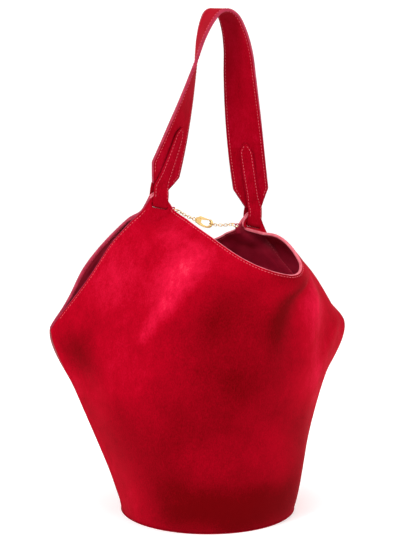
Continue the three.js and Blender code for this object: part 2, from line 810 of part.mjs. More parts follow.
// The links share out what the clasp leaves, and each one reaches round its neighbour.
const LINK_HALF = LINK_HALF_WIDTH + LINK_STRETCH;
const LINK_REACH = LINK_HALF - LINK_WIRE - GAP;
const RUN_ENDS = LINK_REACH * 2 - RING_WIRE - EYE_WIRE;
const linkPitch = (chainLength - CLASP_SPAN - RUN_ENDS * 2) / (FRONT_LINKS + BACK_LINKS - 2);
const claspStart = RUN_ENDS + linkPitch * (FRONT_LINKS - 1) + CLASP_BACK;

function claspPlace() {
  const from = chainCurve.getPointAt((claspStart - CLASP_BACK) / chainLength);
  const to = chainCurve.getPointAt((claspStart - CLASP_BACK + CLASP_SPAN) / chainLength);
  const along = to.clone().sub(from).normalize();
  const side = along.clone().cross(UP).normalize();
  const origin = from.addScaledVector(along, CLASP_BACK);
  return new THREE.Matrix4().makeBasis(along, side.clone().cross(along), side).setPosition(origin);
}

const claspMatrix = claspPlace();

const material = (color, roughness, metalness) => {
  return new THREE.MeshStandardMaterial({ color, roughness, metalness });
};

const bag = new THREE.Group();

function add(name, geometry, finish) {
  const mesh = new THREE.Mesh(geometry, finish);
  mesh.name = name;
  bag.add(mesh);
}

const suede = () => material(SUEDE_RED, 0.9, 0);
const lining = () => material(LINING_RED, 0.55, 0);
const gold = () => material(GOLD, 0.25, 1);

add('front_panel', panelSkin(SUEDE_IN, SUEDE_OUT, false), suede());
add('back_panel', panelSkin(SUEDE_IN, SUEDE_OUT, true), suede());
add('front_lining', panelSkin(PANEL_CLEARANCE, LINING_OUT, false), lining());
add('back_lining', panelSkin(PANEL_CLEARANCE, LINING_OUT, true), lining());
add('base_panel', basePanel(), suede());
add('base_board', baseBoard(), material(BOARD, 0.9, 0));
add('base_lining', baseLining(), lining());
add('strap_outer', strapLayer(GAP / 2, STRAP_HALF), suede());
add('strap_lining', strapLayer(-STRAP_HALF, -GAP / 2), suede());
add('front_tongue', tongueLoop(-1), suede());
add('back_tongue', tongueLoop(1), suede());
add('front_anchor_tab', anchorTab(frontAnchor), lining());
add('back_anchor_tab', anchorTab(backAnchor), lining());
add('front_anchor_ring', anchorRing(frontAnchor, frontHole, 1), gold());
add('back_anchor_ring', anchorRing(backAnchor, backHole, -1), gold());
add('clasp_body', claspBody().applyMatrix4(claspMatrix), gold());
add('clasp_lever', claspLever().applyMatrix4(claspMatrix), gold());
add('clasp_lever_pin', claspPin(PIN_RADIUS, CLASP_THICKNESS).applyMatrix4(claspMatrix), gold());
add('clasp_eye', claspEye().applyMatrix4(claspMatrix), gold());
add('catch_ring', catchRing().applyMatrix4(claspMatrix), gold());

for (let i = 0; i < FRONT_LINKS; i += 1) {
  const distance = LINK_REACH - RING_WIRE + i * linkPitch;
  add(`front_chain_link_${i + 1}`, chainLink(distance, i), gold());
}
const backStart = claspStart + CATCH_CENTRE + CATCH_RADIUS + LINK_REACH - EYE_WIRE;
for (let i = 0; i < BACK_LINKS; i += 1) {
  add(`back_chain_link_${i + 1}`, chainLink(backStart + i * linkPitch, i), gold());
}

export default bag;
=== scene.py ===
# Bucket bag in suede: two cat's-head panels on an oval base, a twisted two-layer strap
# whose tongues loop through the paired ears, and a short gold chain with a lobster clasp.
# Shapes are worked out in millimetres, as the bag's pattern is, and made in metres.

import json
import math

import bmesh
import bpy
import numpy as np
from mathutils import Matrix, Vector

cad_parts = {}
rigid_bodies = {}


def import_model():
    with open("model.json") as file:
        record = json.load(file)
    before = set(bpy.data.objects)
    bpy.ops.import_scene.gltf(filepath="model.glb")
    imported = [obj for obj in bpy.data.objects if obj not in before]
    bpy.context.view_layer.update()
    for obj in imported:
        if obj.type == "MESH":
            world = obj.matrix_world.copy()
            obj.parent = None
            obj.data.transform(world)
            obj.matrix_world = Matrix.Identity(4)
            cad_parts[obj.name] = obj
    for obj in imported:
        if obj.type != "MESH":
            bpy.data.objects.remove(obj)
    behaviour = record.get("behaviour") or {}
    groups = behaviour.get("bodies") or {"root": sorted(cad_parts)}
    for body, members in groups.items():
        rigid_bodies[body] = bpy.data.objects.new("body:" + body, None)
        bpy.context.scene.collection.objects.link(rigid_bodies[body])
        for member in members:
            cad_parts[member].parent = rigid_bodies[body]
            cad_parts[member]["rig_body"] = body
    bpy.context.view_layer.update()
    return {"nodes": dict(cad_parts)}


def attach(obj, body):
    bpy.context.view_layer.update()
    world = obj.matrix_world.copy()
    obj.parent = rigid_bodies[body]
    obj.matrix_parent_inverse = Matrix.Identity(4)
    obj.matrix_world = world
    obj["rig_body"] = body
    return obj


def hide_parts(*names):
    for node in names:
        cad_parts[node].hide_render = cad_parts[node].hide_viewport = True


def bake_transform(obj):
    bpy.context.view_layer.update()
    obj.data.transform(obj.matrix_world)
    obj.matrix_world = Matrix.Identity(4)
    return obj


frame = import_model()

MM = 0.001

# ---- Camera, floor and light ----

CAMERA_BACK = 1.2
CAMERA_HEIGHT = 0.43
CAMERA_PITCH = math.radians(7.7)
CAMERA_LENS = 68.3
SENSOR = 36

# ---- Driving dimensions of the bag, in millimetres ----

GAP = 0.3
LINING_THICKNESS = 1.2
SUEDE_THICKNESS = 1.5
PANEL_CLEARANCE = 0.4
SEAM_INSET = 0.7
LINING_OUT = PANEL_CLEARANCE + LINING_THICKNESS
SUEDE_IN = LINING_OUT + GAP
SUEDE_OUT = SUEDE_IN + SUEDE_THICKNESS

BASE_HALF_LENGTH = 97.5
BASE_HALF_WIDTH = 86
BASE_SKIN = 1.5
BASE_RIM = 4
BASE_TOP = BASE_SKIN + GAP
BASE_HOLD = 40
BASE_UPRIGHT = 30
SEAM_ANGLE = math.radians(198)

FLAT_BASE_WIDTH = 292
FLAT_WIDTH = 400
FLAT_SIDE = (FLAT_WIDTH - FLAT_BASE_WIDTH) / 2
FLAT_CORNER_HEIGHT = 222
FLAT_VALLEY_HEIGHT = 300
FLAT_LEFT_EAR = 76
FLAT_RIGHT_EAR = 352
FLAT_EAR_HALF = 8
FLAT_EAR_SHOULDER = 386
FLAT_EAR_HEIGHT = 394
FLAT_SLOT_HEIGHT = 370
FLAT_MOUTH_CURVE = 1.5

EAR_X = 54
EAR_Y = 29
SLOT_HEIGHT = 340
SLOT_LENGTH = 20
SLOT_OPENING = 6
SLOT_RISE = 1.6
PINCH_NEAR = 16
PINCH_FAR = 36
ALONG = np.array([EAR_X, EAR_Y, 0]) / math.hypot(EAR_X, EAR_Y)
FACING = np.array([ALONG[1], -ALONG[0], 0])
UP = np.array([0.0, 0.0, 1.0])

LEAN_AT_BASE = 9.5
LEAN_AT_TOP = 25
EAR_DROP = 0.24
CENTRING = 0.59
CORNER_HEIGHT = 215
TOP_LEAN_FROM = 180
TOP_LEAN_TO = 620

STRAP_WIDTH = 42
STRAP_END_WIDTH = 20
STRAP_LAYER = 1.4
STRAP_END_HEIGHT = 362
STRAP_SHOULDER_HEIGHT = 382
END_TURN = math.radians(8)

TONGUE_WIDTH = 18
TONGUE_THICKNESS = 2
TONGUE_CLEARANCE = 0.8
TAB_WIDTH = 15
TAB_TOP = 432
TAB_POINT = 13

STITCH_PITCH = 3.6
STITCH_LENGTH = 2.7
THREAD = 0.34
STITCH_INSET = 2.6
TONGUE_STITCH_INSET = 1.9
SOLE_STITCH_INSET = 1.6
PAINT_HALF = 0.55
PAINT_PROUD = 0.12

# ---- Panel control points: (across, up) on the flat leather, then where it stands ----
# Both panels share their stitched edge, their ears and most of their face. Each has its
# own mouth, free edge and flap, and the back panel's places are a half turn round.

STITCHED_EDGE = [
    ((0, 222), (-166, -25, 215)),
    ((14, 256), (-142, -30, 244)),
    ((31, 299), (-116, -34, 275)),
    ((48, 338), (-91, -37, 308)),
    ((68, 386), (-64, -35, 348)),
    ((76, 394), (-54, -29, 356)),
    ((84, 386), (-46, -24, 349)),
    ((344, 386), (46, 24, 349)),
    ((352, 394), (54, 29, 356)),
    ((360, 386), (63, 34, 350)),
    ((400, 222), (166, 25, 215)),
]

PANEL_FACE = [
    ((42, 53), (-107, -28, 52)),
    ((30, 100), (-123, -27, 98)),
    ((15, 160), (-144, -26, 156)),
    ((358, 53), (107, 28, 52)),
    ((370, 100), (123, 27, 98)),
    ((385, 160), (144, 26, 156)),
    ((121, 53), (-50, -86, 50)),
    ((200, 53), (36, -92, 50)),
    ((279, 53), (99, -43, 50)),
    ((98, 100), (-79, -75, 97)),
    ((166, 100), (-10, -101, 98)),
    ((234, 100), (61, -92, 98)),
    ((302, 100), (112, -38, 98)),
    ((89, 160), (-93, -75, 150)),
    ((163, 160), (-11, -105, 152)),
    ((237, 160), (71, -98, 156)),
    ((311, 160), (127, -37, 154)),
    ((61, 215), (-112, -59, 200)),
    ((121, 215), (-50, -90, 201)),
    ((180, 215), (17, -104, 205)),
    ((240, 215), (85, -94, 210)),
    ((299, 215), (127, -46, 208)),
    ((350, 215), (150, -11, 208)),
    ((70, 265), (-90, -60, 247)),
    ((125, 265), (-30, -85, 250)),
    ((75, 310), (-78, -49, 293)),
]

FRONT_OWN = [
    ((111, 361), (-21, -38, 334)),
    ((138, 338), (7, -58, 322)),
    ((175, 314), (46, -80, 307)),
    ((198, 304), (73, -87, 302)),
    ((214, 300), (93, -80, 301)),
    ((231, 304), (103, -65, 307)),
    ((244, 309), (104, -52, 316)),
    ((257, 316), (97, -40, 327)),
    ((270, 325), (89, -30, 334)),
    ((283, 333), (81, -20, 337)),
    ((305, 350), (66, -4, 335)),
    ((322, 365), (53, 10, 334)),
    ((334, 376), (44, 19, 341)),
    ((365, 364), (79, 38, 326)),
    ((373, 334), (94.5, 41.5, 297)),
    ((380, 305), (111, 42, 274.5)),
    ((385, 282), (126.5, 40, 260.5)),
    ((390, 263), (141, 37, 249)),
    ((395, 244), (154, 30, 233)),
    ((180, 265), (34, -99, 258)),
    ((225, 265), (84, -91, 264)),
    ((275, 265), (123, -38, 268)),
    ((325, 265), (136, 0, 266)),
    ((357, 262), (144, 15, 252)),
    ((105, 310), (-46, -57, 297)),
    ((145, 306), (5, -77, 297)),
    ((231, 279), (107, -63, 283)),
    ((252, 285), (114, -42, 298)),
    ((285, 306), (100, -8, 322)),
    ((315, 308), (107, 10, 316)),
    ((350, 310), (117, 23, 299)),
    ((100, 350), (-33, -42, 322)),
    ((318, 336), (78, 6, 332)),
    ((343, 346), (76, 20, 332)),
]

BACK_OWN = [
    ((111, 361), (-22, -37, 319)),
    ((138, 338), (7, -58, 299)),
    ((175, 314), (46, -80, 294)),
    ((198, 304), (73, -87, 290)),
    ((214, 300), (93, -80, 290)),
    ((231, 304), (96, -65, 295)),
    ((244, 309), (92, -52, 301)),
    ((257, 316), (84, -40, 309)),
    ((270, 325), (76, -30, 317)),
    ((283, 333), (70, -20, 324)),
    ((305, 350), (60, -5, 330)),
    ((322, 365), (51, 9, 333)),
    ((334, 376), (44, 18, 341)),
    ((365, 364), (76, 33, 328)),
    ((373, 334), (97, 33, 306)),
    ((380, 305), (117, 32, 285)),
    ((385, 282), (132, 31, 267)),
    ((390, 263), (142, 29, 250)),
    ((395, 244), (153, 27, 234)),
    ((180, 265), (34, -99, 252)),
    ((225, 265), (84, -91, 256)),
    ((275, 265), (119, -40, 262)),
    ((325, 265), (130, 2, 262)),
    ((105, 310), (-46, -57, 290)),
    ((145, 306), (5, -72, 277)),
    ((231, 279), (104, -68, 272)),
    ((252, 285), (104, -47, 285)),
    ((285, 306), (87, -10, 309)),
    ((315, 308), (92, 10, 306)),
    ((350, 310), (104, 24, 296)),
    ((100, 350), (-33, -42, 316)),
    ((318, 336), (72, 4, 322)),
    ((343, 346), (74, 20, 324)),
]

# Folds that press into the leather, on the flat panel: from, to, half width and height.
FOLDS = [
    ((66, 352), (58, 300), 5, 1.0),
    ((92, 352), (104, 318), 5, 1.2),
    ((100, 346), (128, 306), 6, -1.2),
    ((150, 314), (106, 226), 17, 3.6),
    ((184, 300), (150, 206), 24, -2.6),
    ((214, 300), (224, 150), 20, 3.2),
    ((236, 296), (250, 190), 14, -2.2),
    ((264, 300), (290, 190), 18, 2.4),
    ((199, 298), (198, 262), 3.5, -0.8),
    ((30, 232), (96, 196), 14, 1.8),
    ((366, 232), (312, 190), 12, 1.8),
    ((20, 206), (70, 150), 16, -1.8),
    ((120, 120), (176, 60), 24, 1.8),
    ((240, 110), (286, 50), 22, 1.8),
    ((330, 170), (306, 90), 18, -1.8),
]

# Painted highlights and painted shade on the panels' suede, drawn as brushed nap strokes; part is the
# nap's own light and dark.
PAINTED_LIGHT_AND_SHADE = [
    ((136, 322), (118, 262), 15, 1.3),
    ((122, 268), (106, 226), 8, 0.9),
    ((92, 344), (122, 318), 12, 0.5),
    ((80, 300), (50, 256), 30, 0.3),
    ((184, 300), (156, 222), 26, -0.55),
    ((206, 270), (196, 90), 64, -1.0),
    ((60, 216), (20, 196), 30, -1.0),
    ((90, 150), (120, 50), 50, -0.75),
    ((110, 34), (300, 26), 40, -1.7),
    ((276, 150), (290, 60), 34, -0.5),
    ((256, 280), (290, 226), 18, 1.1),
    ((290, 216), (314, 130), 22, 0.45),
    ((196, 306), (222, 296), 14, -0.8),
    ((226, 304), (234, 210), 10, -0.8),
]


# ---- Pattern maths, on arrays of points ----

def smooth(value, low, high):
    part = np.clip((value - low) / (high - low), 0, 1)
    return part * part * (3 - 2 * part)


def unit(vectors):
    return vectors / np.linalg.norm(vectors, axis=-1, keepdims=True)


def settle(points):
    """Leans the bag's axis, lowers the right ear against the left one and centres it all."""
    x, y, z = np.moveaxis(np.asarray(points, float), -1, 0)
    z = z - EAR_DROP * x * smooth(z, CORNER_HEIGHT, SLOT_HEIGHT)
    lean = LEAN_AT_BASE * (1 - smooth(z, 0, CORNER_HEIGHT))
    lean = lean + LEAN_AT_TOP * smooth(z, TOP_LEAN_FROM, TOP_LEAN_TO)
    return np.stack([x + lean - CENTRING, y, z], -1)


def kernel(squared):
    return np.where(squared > 0, squared * np.log(np.maximum(squared, 1e-9)), 0)


def thin_plate(pairs, slack):
    """A smooth surface over the flat panel that passes close to every control point."""
    flat = np.array([pair[0] for pair in pairs], float)
    placed = np.array([pair[1] for pair in pairs], float)
    count = len(pairs)
    apart = ((flat[:, None] - flat[None]) ** 2).sum(-1)
    affine = np.column_stack([np.ones(count), flat])
    matrix = np.zeros((count + 3, count + 3))
    matrix[:count, :count] = kernel(apart) + slack * np.eye(count)
    matrix[:count, count:] = affine
    matrix[count:, :count] = affine.T
    weights = np.linalg.solve(matrix, np.vstack([placed, np.zeros((3, 3))]))

    def surface(x, y):
        squared = (x[..., None] - flat[:, 0]) ** 2 + (y[..., None] - flat[:, 1]) ** 2
        flat_part = np.stack([np.ones_like(x), x, y], -1) @ weights[count:]
        return kernel(squared) @ weights[:count] + flat_part

    return surface


def base_edge(fraction):
    """Where a panel's foot stands on the oval, a fraction of the way along it."""
    angle = SEAM_ANGLE + np.pi * np.asarray(fraction, float)
    across = BASE_HALF_LENGTH * np.cos(angle)
    deep = BASE_HALF_WIDTH * np.sin(angle)
    return np.stack([across, deep, np.full_like(across, BASE_TOP)], -1)


BASE_POINTS = 12
SURFACE_SLACK = 20
base_pairs = []
for step in range(BASE_POINTS + 1):
    portion = step / BASE_POINTS
    base_pairs.append(((FLAT_SIDE + FLAT_BASE_WIDTH * portion, 0), base_edge(portion)))
shared_pairs = base_pairs + STITCHED_EDGE + PANEL_FACE
front_surface = thin_plate(shared_pairs + FRONT_OWN, SURFACE_SLACK)
back_surface = thin_plate(shared_pairs + BACK_OWN, SURFACE_SLACK)


def flat_top(x):
    """Height of the flat panel's top edge: straight sides, rounded ears, a dipped mouth."""
    middle = (FLAT_LEFT_EAR + FLAT_RIGHT_EAR) / 2
    left = x < middle
    outward = np.where(left, FLAT_LEFT_EAR - x, x - FLAT_RIGHT_EAR)
    round_top = FLAT_EAR_HEIGHT - (FLAT_EAR_HEIGHT - FLAT_EAR_SHOULDER) * (outward / FLAT_EAR_HALF) ** 2
    side = np.where(left, FLAT_LEFT_EAR, FLAT_WIDTH - FLAT_RIGHT_EAR)
    run = (side - outward) / (side - FLAT_EAR_HALF)
    slope = FLAT_CORNER_HEIGHT + run * (FLAT_EAR_SHOULDER - FLAT_CORNER_HEIGHT)
    dip = 1 - (-outward - FLAT_EAR_HALF) / ((FLAT_RIGHT_EAR - FLAT_LEFT_EAR) / 2 - FLAT_EAR_HALF)
    depth = FLAT_EAR_SHOULDER - FLAT_VALLEY_HEIGHT
    mouth = np.clip(dip, 0, 1) ** FLAT_MOUTH_CURVE * depth + FLAT_VALLEY_HEIGHT
    return np.where(np.abs(outward) <= FLAT_EAR_HALF, round_top, np.where(outward > 0, slope, mouth))


def pinch(points):
    """The loop squeezes both panels flat around each slot."""
    for side in (-1, 1):
        away = points - np.array([side * EAR_X, side * EAR_Y, SLOT_HEIGHT])
        off = away @ FACING
        hold = 1 - smooth(np.linalg.norm(away, axis=-1), PINCH_NEAR, PINCH_FAR)
        points = points - FACING * (off * hold)[..., None]
    return points


def panel_surface(x, y, back):
    """The panel before it is settled, with its foot drawn onto the base's oval."""
    surface = back_surface if back else front_surface
    fraction = (x - FLAT_SIDE * (1 - np.minimum(1, y / FLAT_CORNER_HEIGHT))) / FLAT_BASE_WIDTH
    hold = np.maximum(0, 1 - y / BASE_HOLD)
    wanted = base_edge(np.clip(fraction, 0, 1))
    held = surface(np.clip(x, FLAT_SIDE, FLAT_WIDTH - FLAT_SIDE), np.zeros_like(y))
    return pinch(surface(x, y)) + (wanted - held) * (hold * hold)[..., None]


def panel_normal(x, y, back):
    """The way out of the panel, turned level at its foot."""
    step = 1.5
    across = panel_surface(x + step, y, back) - panel_surface(x - step, y, back)
    low = np.maximum(0, y - step)
    up = panel_surface(x, y + step, back) - panel_surface(x, low, back)
    normal = np.cross(across, up)
    normal[..., 2] *= np.minimum(1, y / BASE_UPRIGHT)
    return unit(normal)


STROKE_TAIL = 0.1
STROKE_FADE = 0.7


def strokes(x, y, marks):
    """The sum of soft strokes drawn on the flat panel."""
    total = np.zeros_like(x)
    for (x0, y0), (x1, y1), width, height in marks:
        run = np.array([x1 - x0, y1 - y0], float)
        part = ((x - x0) * run[0] + (y - y0) * run[1]) / (run @ run)
        near = np.clip(part, 0, 1)
        squared = (x - x0 - near * run[0]) ** 2 + (y - y0 - near * run[1]) ** 2
        covered = np.clip(part * (1 - 2 * STROKE_TAIL) + STROKE_TAIL, 0, 1)
        fade = np.sin(np.pi * covered) ** STROKE_FADE
        total += height * fade * np.exp(-squared / (width * width))
    return total


FOLD_TOP_EASE = (0, 24)
FOLD_BASE_EASE = (4, 50)
FOLD_SLOT_EASE = (24, 50)


def fold(x, y):
    """How far the folds push the leather out, easing off at its edges and its slots."""
    free = smooth(flat_top(x) - y, *FOLD_TOP_EASE) * smooth(y, *FOLD_BASE_EASE)
    for ear in (FLAT_LEFT_EAR, FLAT_RIGHT_EAR):
        free = free * smooth(np.hypot(x - ear, y - FLAT_SLOT_HEIGHT), *FOLD_SLOT_EASE)
    return strokes(x, y, FOLDS) * free


def on_panel(x, y, back, offset):
    """A point on the settled panel, so far out from its middle surface."""
    x = np.asarray(x, float)
    y = np.asarray(y, float)
    lift = offset + fold(x, y)
    point = panel_surface(x, y, back) + panel_normal(x, y, back) * lift[..., None]
    if back:
        point = point * np.array([-1, -1, 1])
    return settle(point)


def lerp(low, high, part):
    return low + (high - low) * part


# ---- Mesh helpers ----

def new_object(name, mesh, material):
    made = bpy.data.objects.new(name, mesh)
    bpy.context.scene.collection.objects.link(made)
    mesh.materials.append(material)
    return made


def finish_mesh(mesh, sharp_angle):
    work = bmesh.new()
    work.from_mesh(mesh)
    bmesh.ops.recalc_face_normals(work, faces=work.faces)
    work.to_mesh(mesh)
    work.free()
    mesh.polygons.foreach_set("use_smooth", [True] * len(mesh.polygons))
    mesh.set_sharp_from_angle(angle=math.radians(sharp_angle))
    mesh.update()


def mesh_from(name, points, faces, sharp_angle=40):
    mesh = bpy.data.meshes.new(name)
    mesh.from_pydata([tuple(point) for point in np.asarray(points) * MM], [], faces)
    finish_mesh(mesh, sharp_angle)
    return mesh


def loft_faces(stations, around, start=0):
    """Faces of a skin over rings of points, one ring to a station, closed at both ends."""
    faces = []
    for s in range(stations - 1):
        for k in range(around):
            here = start + s * around + k
            beside = start + s * around + (k + 1) % around
            faces.append((here, beside, beside + around, here + around))
    faces.append(tuple(start + k for k in range(around)))
    last = start + (stations - 1) * around
    faces.append(tuple(last + k for k in reversed(range(around))))
    return faces


def loft(name, loops, material, sharp_angle=40):
    loops = np.asarray(loops)
    stations, around = loops.shape[:2]
    mesh = mesh_from(name, loops.reshape(-1, 3), loft_faces(stations, around), sharp_angle)
    return new_object(name, mesh, material)


def slab_faces(rows, columns):
    """Faces of a closed skin between two grids, one after the other."""
    faces = []
    behind = rows * columns
    for r in range(rows - 1):
        for c in range(columns - 1):
            here = r * columns + c
            faces.append((here, here + 1, here + columns + 1, here + columns))
            faces.append(tuple(behind + at for at in (here, here + columns, here + columns + 1, here + 1)))
    rim = list(range(columns))
    rim += [r * columns + columns - 1 for r in range(1, rows)]
    rim += [(rows - 1) * columns + c for c in range(columns - 2, -1, -1)]
    rim += [r * columns for r in range(rows - 2, 0, -1)]
    for index, here in enumerate(rim):
        after = rim[(index + 1) % len(rim)]
        faces.append((here, behind + here, behind + after, after))
    return faces


def ring_section(half_across, half_thick, around=10, power=0.75):
    """A rounded section as pairs of (across, thick)."""
    turn = np.linspace(0, 2 * np.pi, around, endpoint=False)
    across = np.sign(np.cos(turn)) * np.abs(np.cos(turn)) ** power * half_across
    thick = np.sign(np.sin(turn)) * np.abs(np.sin(turn)) ** power * half_thick
    return np.column_stack([across, thick])


def bead(name, centres, across, thick, section, material):
    """A rounded strip along a line, with its section set across and through."""
    loops = [
        centre + section[:, :1] * wide + section[:, 1:] * deep
        for centre, wide, deep in zip(centres, across, thick)
    ]
    return loft(name, loops, material, 60)


def point_along(line, place):
    """A point on a line, at a place counted in the line's own steps."""
    index = np.arange(len(line))
    return np.array([np.interp(place, index, line[:, axis]) for axis in range(3)])


def resample(points, pitch):
    """Places about a pitch apart along a line, each counted in the line's own steps."""
    steps = np.linalg.norm(np.diff(points, axis=0), axis=1)
    length = np.concatenate([[0], np.cumsum(steps)])
    count = max(2, int(length[-1] / pitch))
    return np.interp(np.linspace(0, length[-1], count + 1), length, np.arange(len(points)))


def stitches(name, lines, material):
    """Short threads lying along each line. A line is its points and the way up at each."""
    points = []
    faces = []
    bulge = [0.25, 0.85, 1.0, 0.85, 0.25]
    dip = [-0.5, 0.15, 0.35, 0.15, -0.5]
    around = 6
    turn = np.linspace(0, 2 * np.pi, around, endpoint=False)
    for line, ups in lines:
        places = resample(line, STITCH_PITCH)
        for middle_place in (places[:-1] + places[1:]) / 2:
            centre = point_along(line, middle_place)
            up = unit(point_along(ups, middle_place))
            along = unit(point_along(line, middle_place + 0.5) - point_along(line, middle_place - 0.5))
            side = unit(np.cross(along, up))
            start = len(points)
            for part, (swell, rise) in enumerate(zip(bulge, dip)):
                reach = STITCH_LENGTH * (part / (len(bulge) - 1) - 0.5)
                middle = centre + along * reach + up * rise * THREAD
                for angle in turn:
                    ring = side * math.cos(angle) + up * math.sin(angle)
                    points.append(middle + ring * THREAD * swell)
            faces += loft_faces(len(bulge), around, start)
    return new_object(name, mesh_from(name, points, faces, 80), material)


def applied(made, modifier):
    """Turns a mesh object's only modifier into its mesh."""
    bpy.context.view_layer.update()
    shaped = made.evaluated_get(bpy.context.evaluated_depsgraph_get())
    mesh = bpy.data.meshes.new_from_object(shaped)
    made.modifiers.remove(modifier)
    made.data = mesh
    return made


# ---- Materials ----

class Shader:
    """A node material, built from a few short calls."""

    def __init__(self, name):
        self.material = bpy.data.materials.new(name)
        self.material.use_nodes = True
        self.tree = self.material.node_tree
        self.surface = self.tree.nodes["Principled BSDF"]
        self.places = self.tree.nodes.new("ShaderNodeTexCoord").outputs["Object"]

    def node(self, kind, **settings):
        made = self.tree.nodes.new(kind)
        for key, value in settings.items():
            setattr(made, key, value)
        return made

    def link(self, source, target):
        self.tree.links.new(source, target)

    def set(self, **values):
        for key, value in values.items():
            self.surface.inputs[key.replace("_", " ")].default_value = value

    def stretched(self, scale):
        mapping = self.node("ShaderNodeMapping")
        mapping.inputs["Scale"].default_value = scale
        self.link(self.places, mapping.inputs["Vector"])
        return mapping.outputs["Vector"]

    def noise(self, scale, detail=3, roughness=0.55, places=None):
        made = self.node("ShaderNodeTexNoise")
        made.inputs["Scale"].default_value = scale
        made.inputs["Detail"].default_value = detail
        made.inputs["Roughness"].default_value = roughness
        self.link(places or self.places, made.inputs["Vector"])
        return made.outputs["Fac"]

    def cells(self, scale):
        made = self.node("ShaderNodeTexVoronoi", feature="DISTANCE_TO_EDGE")
        made.inputs["Scale"].default_value = scale
        self.link(self.places, made.inputs["Vector"])
        return made.outputs["Distance"]

    def math(self, operation, one, other):
        made = self.node("ShaderNodeMath", operation=operation)
        for socket, value in zip(made.inputs, (one, other)):
            if isinstance(value, (int, float)):
                socket.default_value = value
            else:
                self.link(value, socket)
        return made.outputs[0]

    def weighted(self, base, *parts):
        """A base value plus each part times its weight."""
        total = base
        for value, weight in parts:
            total = self.math("ADD", total, self.math("MULTIPLY", value, weight))
        return total

    def attribute(self, name):
        return self.node("ShaderNodeAttribute", attribute_name=name).outputs["Fac"]

    def ramp(self, value, stops):
        made = self.node("ShaderNodeValToRGB")
        ramp = made.color_ramp
        while len(ramp.elements) < len(stops):
            ramp.elements.new(0.5)
        for element, (place, colour) in zip(ramp.elements, stops):
            element.position = place
            element.color = (*colour, 1)
        self.link(value, made.inputs["Fac"])
        return made.outputs["Color"]

    def colour(self, value, stops):
        self.link(self.ramp(value, stops), self.surface.inputs["Base Color"])

    def spread(self, value, low, high, socket="Roughness"):
        made = self.node("ShaderNodeMapRange")
        made.inputs["To Min"].default_value = low
        made.inputs["To Max"].default_value = high
        self.link(value, made.inputs["Value"])
        self.link(made.outputs["Result"], self.surface.inputs[socket])

    def bump(self, value, strength, distance):
        made = self.node("ShaderNodeBump")
        made.inputs["Strength"].default_value = strength
        made.inputs["Distance"].default_value = distance
        self.link(value, made.inputs["Height"])
        self.link(made.outputs["Normal"], self.surface.inputs["Normal"])


# Noise alone stays between the darkest and brightest stops; the panels' painted shade and painted
# highlights reach them.
SUEDE_DARK = (0.120, 0.0, 0.0012)
SUEDE_MID = (0.335, 0.0001, 0.0085)
SUEDE_LIGHT = (0.56, 0.005, 0.034)
SUEDE_BRIGHT = (0.72, 0.055, 0.105)


def suede(name, with_painted_light=False, tone=1.0):
    """Napped leather: cloudy brushing, a fine fibre and a soft velvet sheen; on the panels it also carries
    painted highlights and painted shade.
    """
    shader = Shader(name)
    clouds = shader.noise(20, 3, 0.5)
    patches = shader.noise(120, 5, 0.7, shader.stretched((1, 1, 0.5)))
    fibres = shader.noise(1000, 3, 0.7, shader.stretched((1, 1, 0.4)))
    value = shader.weighted(0.20, (clouds, 0.16), (patches, 0.18), (fibres, 0.26))
    # Painted highlights and painted shade from the panel's points, streaked by the patches.
    if with_painted_light:
        streaks = shader.weighted(0.45, (patches, 1.1))
        nap_and_painted_light = shader.math("MULTIPLY", shader.attribute("nap_and_painted_light"), streaks)
        value = shader.weighted(value, (nap_and_painted_light, 0.15))
    stops = (SUEDE_DARK, SUEDE_MID, SUEDE_LIGHT, SUEDE_BRIGHT)
    colours = [tuple(tone * part for part in stop) for stop in stops]
    shader.colour(value, list(zip((0.30, 0.50, 0.68, 0.86), colours)))
    shader.spread(fibres, 0.82, 1.0)
    shader.bump(shader.weighted(fibres, (patches, 0.6)), 0.35, 0.0005)
    shader.set(Specular_IOR_Level=0.02, Sheen_Weight=0.06, Sheen_Roughness=0.42)
    shader.set(Sheen_Tint=(1.0, 0.22, 0.30, 1))
    return shader.material


def smooth_leather(name, tone=1.0):
    """Burgundy lining leather: a pebbled grain under a low polish."""
    shader = Shader(name)
    clouds = shader.noise(34, 4)
    grain = shader.cells(950)
    pores = shader.noise(1500, 2)
    stops = ((0.30, 0.003, 0.020), (0.46, 0.010, 0.040), (0.60, 0.022, 0.062))
    colours = [tuple(tone * part for part in stop) for stop in stops]
    shader.colour(clouds, list(zip((0.3, 0.52, 0.75), colours)))
    shader.spread(pores, 0.42, 0.62)
    shader.bump(shader.weighted(grain, (pores, 0.3)), 0.25, 0.0003)
    shader.set(Specular_IOR_Level=0.28)
    return shader.material


def edge_paint(name, low, high):
    """Painted cut edge, slightly wavy where the brush has built it up."""
    shader = Shader(name)
    runs = shader.noise(160, 3)
    shader.colour(runs, [(0.3, low), (0.7, high)])
    shader.spread(runs, 0.38, 0.55)
    shader.bump(shader.noise(520, 2), 0.2, 0.0003)
    shader.set(Specular_IOR_Level=0.15)
    return shader.material


def thread(name, low, high):
    """Twisted sewing thread."""
    shader = Shader(name)
    twist = shader.noise(1400, 2, 0.5, shader.stretched((1, 1, 2.5)))
    shader.colour(twist, [(0.35, low), (0.65, high)])
    shader.spread(twist, 0.5, 0.75)
    shader.bump(twist, 0.5, 0.0002)
    shader.set(Specular_IOR_Level=0.3, Sheen_Weight=0.1)
    return shader.material


def gold(name):
    """Polished gold plate with faint handling marks that shift its tone between warm and pale."""
    shader = Shader(name)
    marks = shader.noise(700, 4, 0.6, shader.stretched((1, 1, 3)))
    shader.colour(marks, [(0.3, (0.72, 0.44, 0.14)), (0.7, (0.92, 0.66, 0.30))])
    shader.spread(marks, 0.14, 0.30)
    shader.bump(marks, 0.06, 0.0002)
    shader.set(Metallic=1.0)
    return shader.material


